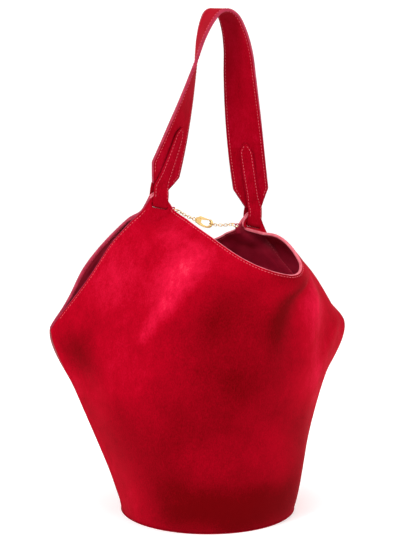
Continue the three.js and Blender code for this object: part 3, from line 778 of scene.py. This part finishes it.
def fibreboard(name):
    """Grey-brown stiffener board with pressed fibres."""
    shader = Shader(name)
    fibres = shader.noise(420, 5, 0.7, shader.stretched((0.3, 1, 1)))
    shader.colour(fibres, [(0.3, (0.10, 0.075, 0.05)), (0.7, (0.20, 0.155, 0.11))])
    shader.spread(fibres, 0.8, 0.95)
    shader.bump(fibres, 0.3, 0.0004)
    return shader.material


def pale_floor(name):
    shader = Shader(name)
    shader.colour(shader.noise(3, 2), [(0.3, (0.93, 0.925, 0.92)), (0.7, (0.95, 0.947, 0.945))])
    shader.set(Roughness=0.9, Specular_IOR_Level=0.0)
    shader.set(Emission_Color=(1, 1, 1, 1), Emission_Strength=0.27)
    return shader.material


# The panels' suede carries the painted highlights and painted shade.
SUEDE = suede("suede_painted_light", with_painted_light=True)
SUEDE_STRAP = suede("suede_strap", tone=0.86)
SUEDE_BASE = suede("suede_base", tone=0.72)
LINING = smooth_leather("lining_leather")
PINK_EDGE = edge_paint("edge_paint_pink", (0.52, 0.075, 0.11), (0.70, 0.17, 0.21))
WINE_EDGE = edge_paint("edge_paint_wine", (0.24, 0.006, 0.028), (0.36, 0.022, 0.055))
DARK_EDGE = edge_paint("edge_paint_dark", (0.12, 0.001, 0.006), (0.20, 0.003, 0.012))
RED_THREAD = thread("thread_red", (0.46, 0.02, 0.045), (0.74, 0.10, 0.14))
DARK_THREAD = thread("thread_dark", (0.10, 0.001, 0.006), (0.20, 0.004, 0.012))
GOLD = gold("gold_plate")
BOARD = fibreboard("fibreboard")


# ---- Making the pieces ----

def place(made, body, slot, *nodes):
    """Rides a piece on its body and hides the nodes it stands for. The slot, its finish's name, is not
    used.
    """
    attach(made, body)
    if nodes:
        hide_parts(*nodes)
    return made


def spaced(stops):
    """Values between stops, each stop given as (start, how many steps to the next)."""
    values = []
    for (start, count), (end, _) in zip(stops, stops[1:]):
        values += list(np.linspace(start, end, count, endpoint=False))
    return np.array(values + [stops[-1][0]])


COLUMNS = spaced([
    (0, 26),
    (FLAT_LEFT_EAR - FLAT_EAR_HALF, 10),
    (FLAT_LEFT_EAR + FLAT_EAR_HALF, 92),
    (FLAT_RIGHT_EAR - FLAT_EAR_HALF, 10),
    (FLAT_RIGHT_EAR + FLAT_EAR_HALF, 18),
    (FLAT_WIDTH, 0),
])
ROWS = 110


def flat_grid():
    """Places on the flat panel: columns fan out from its base to stops along its top."""
    rise = np.linspace(0, 1, ROWS + 1)[:, None]
    bottom = FLAT_SIDE + FLAT_BASE_WIDTH * COLUMNS / FLAT_WIDTH
    inset = SEAM_INSET * (1 - 2 * COLUMNS / FLAT_WIDTH)
    x = bottom + (COLUMNS - bottom) * rise + inset
    y = flat_top(COLUMNS) * rise
    return x, y


def slot_cutter(side):
    """A round-ended bar through both panels at an ear."""
    around = 24
    turn = np.linspace(0, 2 * np.pi, around, endpoint=False)
    radius = SLOT_OPENING / 2
    across = np.cos(turn) * radius + np.sign(np.cos(turn)) * (SLOT_LENGTH / 2 - radius)
    rise = np.sin(turn) * radius
    centre = np.array([side * EAR_X, side * EAR_Y, SLOT_HEIGHT + SLOT_RISE])
    ring = centre + across[:, None] * ALONG + rise[:, None] * UP
    reach = FACING * 15
    return loft(f"slot_cutter_{side}", [settle(ring - reach), settle(ring + reach)], BOARD)


def cut_slots(made):
    for side in (-1, 1):
        cutter = slot_cutter(side)
        boolean = made.modifiers.new("slot", "BOOLEAN")
        boolean.object = cutter
        boolean.solver = "EXACT"
        applied(made, boolean)
        bpy.data.objects.remove(cutter)
    made.data.set_sharp_from_angle(angle=math.radians(40))
    return made


def panel_layer(name, back, low, high, material):
    """One layer of leather, from its skin at low to its skin at high."""
    x, y = flat_grid()
    outer = on_panel(x, y, back, np.full_like(x, high))
    inner = on_panel(x, y, back, np.full_like(x, low))
    rows, columns = x.shape
    points = np.concatenate([outer.reshape(-1, 3), inner.reshape(-1, 3)])
    mesh = mesh_from(name, points, slab_faces(rows, columns))
    # Painted highlights and painted shade, kept on the panel's points for the suede's colour.
    nap_and_painted_light = np.tile(strokes(x, y, PAINTED_LIGHT_AND_SHADE).ravel(), 2)
    mesh.attributes.new("nap_and_painted_light", "FLOAT", "POINT").data.foreach_set("value", nap_and_painted_light.astype(np.float32))
    return cut_slots(new_object(name, mesh, material))


def edge_line(back, start, end, depth, offset, count):
    """A line along the panel's top edge, depth in from it, with the way in and the way out."""
    margin = 0.2
    step = 0.6
    x = np.clip(np.linspace(start, end, count), margin, FLAT_WIDTH - margin)
    slope = (flat_top(x + step) - flat_top(x - step)) / (2 * step)
    length = np.sqrt(1 + slope * slope)
    flat_x = x + slope / length * depth
    flat_y = flat_top(x) - depth / length
    centres = on_panel(flat_x, flat_y, back, np.full_like(x, offset))
    deeper = on_panel(flat_x + slope / length, flat_y - 1 / length, back, np.full_like(x, offset))
    outer = on_panel(flat_x, flat_y, back, np.full_like(x, offset + 1))
    return centres, unit(deeper - centres), unit(outer - centres)


def seam_line(back, right, offset, count):
    """A line up one side seam, from the base to the corner, with the way in."""
    y = np.linspace(1, FLAT_CORNER_HEIGHT, count)
    lean = FLAT_SIDE * (1 - y / FLAT_CORNER_HEIGHT)
    x = FLAT_WIDTH - lean if right else lean
    inward = -1 if right else 1
    centres = on_panel(x, y, back, np.full_like(x, offset))
    deeper = on_panel(x + inward, y, back, np.full_like(x, offset))
    return centres, unit(deeper - centres)


MID_THICKNESS = (PANEL_CLEARANCE + SUEDE_OUT) / 2
HALF_THICKNESS = (SUEDE_OUT - PANEL_CLEARANCE) / 2
EDGE_POINTS = 240
SEAM_POINTS = 90

# Where the edge stitching starts and stops, across the flat panel, clear of the ears.
STITCHED_RUNS = ((6, 62), (92, 330), (364, 396))


def make_panels():
    for side, back in (("front", False), ("back", True)):
        outside = panel_layer(f"{side}_suede", back, SUEDE_IN, SUEDE_OUT, SUEDE)
        place(outside, "bag", "suede", f"{side}_panel")
        inside = panel_layer(f"{side}_leather_lining", back, PANEL_CLEARANCE, LINING_OUT, LINING)
        place(inside, "bag", "lining", f"{side}_lining")
        painted = ring_section(PAINT_HALF, HALF_THICKNESS + PAINT_PROUD)
        ear_end = FLAT_LEFT_EAR - FLAT_EAR_HALF
        free_start = FLAT_RIGHT_EAR + FLAT_EAR_HALF
        for name, start, end, paint in (
            ("stitched_edge", 0, ear_end, WINE_EDGE),
            ("mouth_edge", ear_end, free_start, PINK_EDGE),
            ("free_edge", free_start, FLAT_WIDTH, WINE_EDGE),
        ):
            centres, inward, out = edge_line(back, start, end, 0, MID_THICKNESS, EDGE_POINTS)
            strip = bead(f"{side}_{name}", centres, inward, out, painted, paint)
            place(strip, "bag", "suede")
        lines = []
        for start, end in STITCHED_RUNS:
            for offset, sign in ((SUEDE_OUT, 1), (PANEL_CLEARANCE, -1)):
                centres, _, out = edge_line(back, start, end, STITCH_INSET, offset, EDGE_POINTS)
                lines.append((centres, out * sign))
        place(stitches(f"{side}_edge_stitches", lines, RED_THREAD), "bag", "suede")


def make_side_seams():
    """A thin welt closes each side from the base to its corner."""
    welt_half = 0.9
    overlap = HALF_THICKNESS * 0.5
    section = ring_section(1.0, 1.0)
    for side, right in (("left", False), ("right", True)):
        front, inward = seam_line(False, right, MID_THICKNESS, SEAM_POINTS)
        rear, _ = seam_line(True, not right, MID_THICKNESS, SEAM_POINTS)
        middle = (front + rear) / 2
        spread = rear - front
        half = np.linalg.norm(spread, axis=1, keepdims=True) / 2 + overlap
        loops = []
        for centre, wide, deep, reach in zip(middle, inward, unit(spread), half):
            loops.append(centre + section[:, :1] * wide * welt_half + section[:, 1:] * deep * reach)
        place(loft(f"{side}_seam_welt", loops, DARK_EDGE, 60), "bag", "suede")


def oval(turn, grow, z):
    """A level ring at a height, grown out from the sole's edge."""
    shift = LEAN_AT_BASE - CENTRING
    across = (BASE_HALF_LENGTH + BASE_RIM + grow) * np.cos(turn) + shift
    deep = (BASE_HALF_WIDTH + BASE_RIM + grow) * np.sin(turn)
    return np.column_stack([across, deep, np.full_like(turn, z)])


def make_base():
    """The sole: an oval of suede with a turned rim, and its ring of stitches."""
    turn = np.linspace(0, 2 * np.pi, 160, endpoint=False)
    profile = [(-1.2, 0), (-0.4, 0.08), (0, 0.45), (0, 1.05), (-0.4, 1.42), (-1.2, BASE_SKIN)]
    loops = [oval(turn, grow, z) for grow, z in profile]
    place(loft("base_sole", loops, SUEDE_BASE, 60), "bag", "suede", "base_panel")
    ring = oval(np.linspace(0, 2 * np.pi, 200), -SOLE_STITCH_INSET, BASE_SKIN)
    ups = np.tile(UP, (len(ring), 1))
    place(stitches("base_stitches", [(ring, ups)], DARK_THREAD), "bag", "suede")


# ---- Strap ----

STRAP_LEGS = [
    (54, 29, 362),
    (48, 26, 386),
    (42, 23, 412),
    (36, 19, 441),
    (30, 16, 473),
    (25, 13, 503),
    (21, 11, 530),
    (15, 8, 551),
    (8, 4, 564),
]
STRAP_ROUTE = [(-x, -y, z) for x, y, z in STRAP_LEGS] + [(0, 0, 568)] + STRAP_LEGS[::-1]


def spline(points, per_span=40):
    """A smooth centripetal curve through every point."""
    points = np.asarray(points, float)
    ends = [2 * points[0] - points[1], *points, 2 * points[-1] - points[-2]]
    knots = np.concatenate([[0], np.cumsum(np.sqrt(np.linalg.norm(np.diff(ends, axis=0), axis=1)))])
    out = []
    for i in range(1, len(ends) - 2):
        t = np.linspace(knots[i], knots[i + 1], per_span, endpoint=False)[:, None]
        p0, p1, p2, p3 = ends[i - 1:i + 3]
        t0, t1, t2, t3 = knots[i - 1:i + 3]
        a1 = (t1 - t) / (t1 - t0) * p0 + (t - t0) / (t1 - t0) * p1
        a2 = (t2 - t) / (t2 - t1) * p1 + (t - t1) / (t2 - t1) * p2
        a3 = (t3 - t) / (t3 - t2) * p2 + (t - t2) / (t3 - t2) * p3
        b1 = (t2 - t) / (t2 - t0) * a1 + (t - t0) / (t2 - t0) * a2
        b2 = (t3 - t) / (t3 - t1) * a2 + (t - t1) / (t3 - t1) * a3
        out.append((t2 - t) / (t2 - t1) * b1 + (t - t1) / (t2 - t1) * b2)
    return np.vstack([*out, points[-1:]])


strap_points = spline(STRAP_ROUTE)
strap_steps = np.linalg.norm(np.diff(strap_points, axis=0), axis=1)
strap_fractions = np.concatenate([[0], np.cumsum(strap_steps)]) / strap_steps.sum()


def strap_centre(fraction):
    return np.stack([np.interp(fraction, strap_fractions, strap_points[:, axis]) for axis in range(3)], -1)


def strap_frame(fraction):
    """Centre, way along, way across and way out. It turns nearly half round, end to end."""
    step = 0.004
    centre = strap_centre(fraction)
    along = unit(strap_centre(min(1, fraction + step)) - strap_centre(max(0, fraction - step)))
    angle = math.atan2(ALONG[1], ALONG[0]) + END_TURN + (math.pi - 2 * END_TURN) * fraction
    width = np.array([math.cos(angle), math.sin(angle), 0])
    width = unit(width - along * (width @ along))
    return centre, along, width, unit(np.cross(along, width))


def strap_half_width(z):
    grown = np.clip((z - STRAP_END_HEIGHT) / (STRAP_SHOULDER_HEIGHT - STRAP_END_HEIGHT), 0, 1)
    return lerp(STRAP_END_WIDTH, STRAP_WIDTH, grown) / 2


STRAP_STATIONS = np.linspace(0, 1, 221)
STRAP_HALF = GAP / 2 + STRAP_LAYER


def strap_layer(name, low, high, material):
    """One layer of the strap, from low to high through it, with rounded sides."""
    across = np.linspace(-1, 1, 15)
    rounded = np.sqrt(np.clip(1 - np.abs(across) ** 14, 0, 1))
    middle = (low + high) / 2
    thick = (high - low) / 2
    loops = []
    for fraction in STRAP_STATIONS:
        centre, _, width, out = strap_frame(fraction)
        half = strap_half_width(centre[2])
        outer = [centre + width * half * a + out * (middle + thick * r) for a, r in zip(across, rounded)]
        inner = [centre + width * half * a + out * (middle - thick * r) for a, r in zip(across, rounded)]
        loops.append(settle(np.array(outer + inner[-2:0:-1])))
    return loft(name, loops, material, 55)


def make_strap():
    outer_face = strap_layer("strap_outer_face", GAP / 2, STRAP_HALF, SUEDE_STRAP)
    place(outer_face, "handle", "suede", "strap_outer")
    inner_face = strap_layer("strap_inner_face", -STRAP_HALF, -GAP / 2, SUEDE_STRAP)
    place(inner_face, "handle", "suede", "strap_lining")
    section = ring_section(0.5, STRAP_HALF + 0.08)
    for name, side in (("left", -1), ("right", 1)):
        loops = []
        for fraction in STRAP_STATIONS:
            centre, _, width, out = strap_frame(fraction)
            edge = centre + width * side * strap_half_width(centre[2])
            loops.append(settle(edge + section[:, :1] * width + section[:, 1:] * out))
        place(loft(f"strap_{name}_edge", loops, WINE_EDGE, 60), "handle", "suede")
    lines = []
    for side in (-1, 1):
        for face in (-1, 1):
            line = []
            ups = []
            for fraction in STRAP_STATIONS[6:-6]:
                centre, _, width, out = strap_frame(fraction)
                edge = centre + width * side * (strap_half_width(centre[2]) - STITCH_INSET)
                line.append(settle(edge + out * face * STRAP_HALF))
                ups.append(out * face)
            lines.append((np.array(line), np.array(ups)))
    place(stitches("strap_stitches", lines, RED_THREAD), "handle", "suede")


# ---- Tongue loops ----

TAB_OFFSET = STRAP_HALF + TONGUE_CLEARANCE + TONGUE_THICKNESS / 2
LEG_OFFSET = SUEDE_OUT + TONGUE_CLEARANCE + TONGUE_THICKNESS / 2
TONGUE_PATH = [
    (TAB_TOP, TAB_OFFSET),
    (420, TAB_OFFSET),
    (400, TAB_OFFSET),
    (380, TAB_OFFSET),
    (366, TAB_OFFSET),
    (360, (TAB_OFFSET + LEG_OFFSET) / 2),
    (355, LEG_OFFSET),
    (347, LEG_OFFSET),
    (342.4, LEG_OFFSET * 0.84),
    (340.4, LEG_OFFSET * 0.45),
]
TONGUE_TURN = 340
TONGUE_TWIST_LOW = 357
HINGE_HIGH = 366
TAB_TAPER = 14
TAB_ROUNDNESS = 0.8
TAB_TIP_HALF = 0.5
TONGUE_STITCH_LOW = 350
TONGUE_STITCH_NARROWEST = 2.4


def tongue_half_width(z):
    """A long blunt-pointed tab above, and a slightly wider loop below."""
    tab = smooth(z, STRAP_END_HEIGHT, STRAP_END_HEIGHT + TAB_TAPER)
    half = lerp(TONGUE_WIDTH / 2, TAB_WIDTH / 2, tab)
    pointed = np.clip((TAB_TOP - z) / TAB_POINT, 0, 1)
    return max(TAB_TIP_HALF, half * math.sin(pointed * math.pi / 2) ** TAB_ROUNDNESS)


def strap_fraction_at(side, z):
    half = len(strap_points) // 2
    fraction = np.interp(z, strap_points[:half, 2], strap_fractions[:half])
    return fraction if side < 0 else 1 - fraction


def tongue_frame(side, z, out):
    """A tongue's middle at a height, so far out from the ear or the strap, and its way across."""
    centre, _, width, facing = strap_frame(strap_fraction_at(side, max(z, STRAP_END_HEIGHT)))
    strapped = smooth(z, TONGUE_TWIST_LOW, HINGE_HIGH)
    ear = np.array([side * EAR_X, side * EAR_Y, min(z, STRAP_END_HEIGHT)])
    middle = centre if z > STRAP_END_HEIGHT else ear
    face = unit(lerp(FACING, -facing, strapped))
    across = unit(lerp(ALONG, -width * side, strapped))
    return middle + face * out, across


def tongue_route(side):
    """The loop down one face, round through the slot and up the other, point by point."""
    back_up = [(z, -out) for z, out in reversed(TONGUE_PATH)]
    route = spline([*TONGUE_PATH, (TONGUE_TURN, 0), *back_up], 12)
    frames = [tongue_frame(side, z, out) for z, out in route]
    centres = np.array([centre for centre, _ in frames])
    across = np.array([width for _, width in frames])
    run = np.gradient(centres, axis=0)
    normals = unit(np.cross(run, across))
    halves = np.array([tongue_half_width(z) for z, _ in route])
    return route, centres, across, normals, halves


def tongue_loops(centres, across, normals, halves):
    """The rings of points round a tongue, one to each point of its route."""
    spread = np.linspace(-1, 1, 9)
    crown = np.sqrt(np.clip(1 - np.abs(spread) ** 6, 0, 1)) * 0.5 + 0.5
    thick = TONGUE_THICKNESS / 2
    loops = []
    for centre, wide, normal, half in zip(centres, across, normals, halves):
        outer = [centre + wide * half * s + normal * thick * c for s, c in zip(spread, crown)]
        inner = [centre + wide * half * s - normal * thick * c for s, c in zip(spread, crown)]
        loops.append(settle(np.array(outer + inner[::-1])))
    return loops


def tongue_stitch_lines(route, centres, across, normals, halves):
    """Two lines of stitches on each leg of a tongue, inset from its sides."""
    lines = []
    middle = len(route) // 2
    stitched = (route[:, 0] > TONGUE_STITCH_LOW) & (halves > TONGUE_STITCH_NARROWEST)
    for sign in (-1, 1):
        for leg in (range(middle), range(middle + 1, len(route))):
            picked = [i for i in leg if stitched[i]]
            reach = halves[picked] - TONGUE_STITCH_INSET
            face = normals[picked]
            edge = centres[picked] + across[picked] * (sign * reach)[:, None]
            lines.append((settle(edge + face * TONGUE_THICKNESS / 2), face))
    return lines


def make_tongues():
    for name, side in (("front", -1), ("back", 1)):
        route, centres, across, normals, halves = tongue_route(side)
        loops = tongue_loops(centres, across, normals, halves)
        leather = loft(f"{name}_tongue_leather", loops, SUEDE_STRAP, 50)
        lines = tongue_stitch_lines(route, centres, across, normals, halves)
        thread_piece = stitches(f"{name}_tongue_stitches", lines, RED_THREAD)
        for piece in (leather, thread_piece):
            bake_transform(piece)
        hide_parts(f"{name}_tongue")


# ---- Chain, clasp and small parts ----

def refined(node, material, slot, body, bevel=0.0, subdivide=0):
    """A finer copy of a CAD node: its corners rounded or its facets smoothed."""
    source = frame["nodes"][node]
    work = bmesh.new()
    work.from_mesh(source.data)
    bmesh.ops.remove_doubles(work, verts=work.verts, dist=1e-6)
    flat = math.radians(3 if bevel else 80)
    skew = flat * 9
    bmesh.ops.join_triangles(
        work, faces=work.faces, angle_face_threshold=flat, angle_shape_threshold=skew
    )
    if bevel:
        bmesh.ops.dissolve_limit(work, angle_limit=math.radians(2), verts=work.verts, edges=work.edges)
    mesh = bpy.data.meshes.new(f"{node}_finish")
    work.to_mesh(mesh)
    work.free()
    made = new_object(f"{node}_finish", mesh, material)
    if bevel:
        rounding = made.modifiers.new("rounding", "BEVEL")
        rounding.width = bevel * MM
        rounding.segments = 3
        rounding.limit_method = "ANGLE"
        rounding.angle_limit = math.radians(40)
        applied(made, rounding)
    if subdivide:
        finer = made.modifiers.new("finer", "SUBSURF")
        finer.levels = subdivide
        finer.render_levels = subdivide
        applied(made, finer)
    finish_mesh(made.data, 35 if bevel else 80)
    return place(made, body, slot, node)


def make_metal():
    for name, node in frame["nodes"].items():
        body = node["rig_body"]
        if "chain_link" in name or "ring" in name or name == "clasp_eye":
            refined(name, GOLD, "gold_metal", body, subdivide=2)
        elif name.startswith("clasp"):
            refined(name, GOLD, "gold_metal", body, bevel=0.22)
        elif name.endswith("anchor_tab"):
            refined(name, LINING, "lining", body, bevel=0.35)


def finish_kept_nodes():
    """The hidden inner pieces stay as CAD made them, with their own materials."""
    for name, material in (("base_board", BOARD), ("base_lining", LINING)):
        mesh = frame["nodes"][name].data
        mesh.materials.clear()
        mesh.materials.append(material)


# ---- Studio ----

def make_camera():
    camera = bpy.data.objects.new("camera", bpy.data.cameras.new("camera"))
    camera.data.lens = CAMERA_LENS
    camera.data.sensor_width = SENSOR
    camera.location = (0, -CAMERA_BACK, CAMERA_HEIGHT)
    camera.rotation_euler = (math.pi / 2 - CAMERA_PITCH, 0, 0)
    bpy.context.scene.collection.objects.link(camera)
    bpy.context.scene.camera = camera


def make_floor():
    """A wide round floor that sweeps up into a backdrop on every side."""
    reach = 5.0
    bend = 1.2
    top = 6.0
    around = 96
    turn = np.linspace(0, math.pi / 2, 17)
    profile = [(0.02, 0.0), (1.0, 0.0)]
    profile += [(reach - bend + bend * math.sin(a), bend - bend * math.cos(a)) for a in turn]
    profile.append((reach, top))
    ring = np.linspace(0, 2 * np.pi, around, endpoint=False)
    points = [(r * math.cos(a), r * math.sin(a), z) for r, z in profile for a in ring]
    faces = [tuple(reversed(range(around)))]
    for level in range(len(profile) - 1):
        for k in range(around):
            here = level * around + k
            beside = level * around + (k + 1) % around
            faces.append((here, here + around, beside + around, beside))
    mesh = bpy.data.meshes.new("studio_floor")
    mesh.from_pydata(points, [], faces)
    mesh.polygons.foreach_set("use_smooth", [True] * len(faces))
    new_object("studio_floor", mesh, pale_floor("studio_white"))


def make_light(name, place_at, aim, size, power):
    lamp = bpy.data.lights.new(name, "AREA")
    lamp.size = size
    lamp.energy = power
    made = bpy.data.objects.new(name, lamp)
    made.location = place_at
    made.rotation_euler = (Vector(aim) - Vector(place_at)).to_track_quat("-Z", "Y").to_euler()
    bpy.context.scene.collection.objects.link(made)


WORLD_STRENGTH = 0.30


def make_lights():
    world = bpy.data.worlds.new("studio_air")
    world.use_nodes = True
    world.node_tree.nodes["Background"].inputs["Color"].default_value = (1, 1, 1, 1)
    world.node_tree.nodes["Background"].inputs["Strength"].default_value = WORLD_STRENGTH
    bpy.context.scene.world = world
    middle = (0, 0, 0.22)
    make_light("key_light", (-1.0, -1.1, 1.35), middle, 0.6, 18)
    make_light("side_light", (1.5, -0.3, 0.75), middle, 0.5, 8)
    make_light("top_light", (0.1, -0.2, 1.9), middle, 1.0, 14)
    bpy.context.scene.view_settings.view_transform = "Standard"


make_camera()
make_floor()
make_lights()
make_panels()
make_side_seams()
make_base()
make_strap()
make_tongues()
make_metal()
finish_kept_nodes()
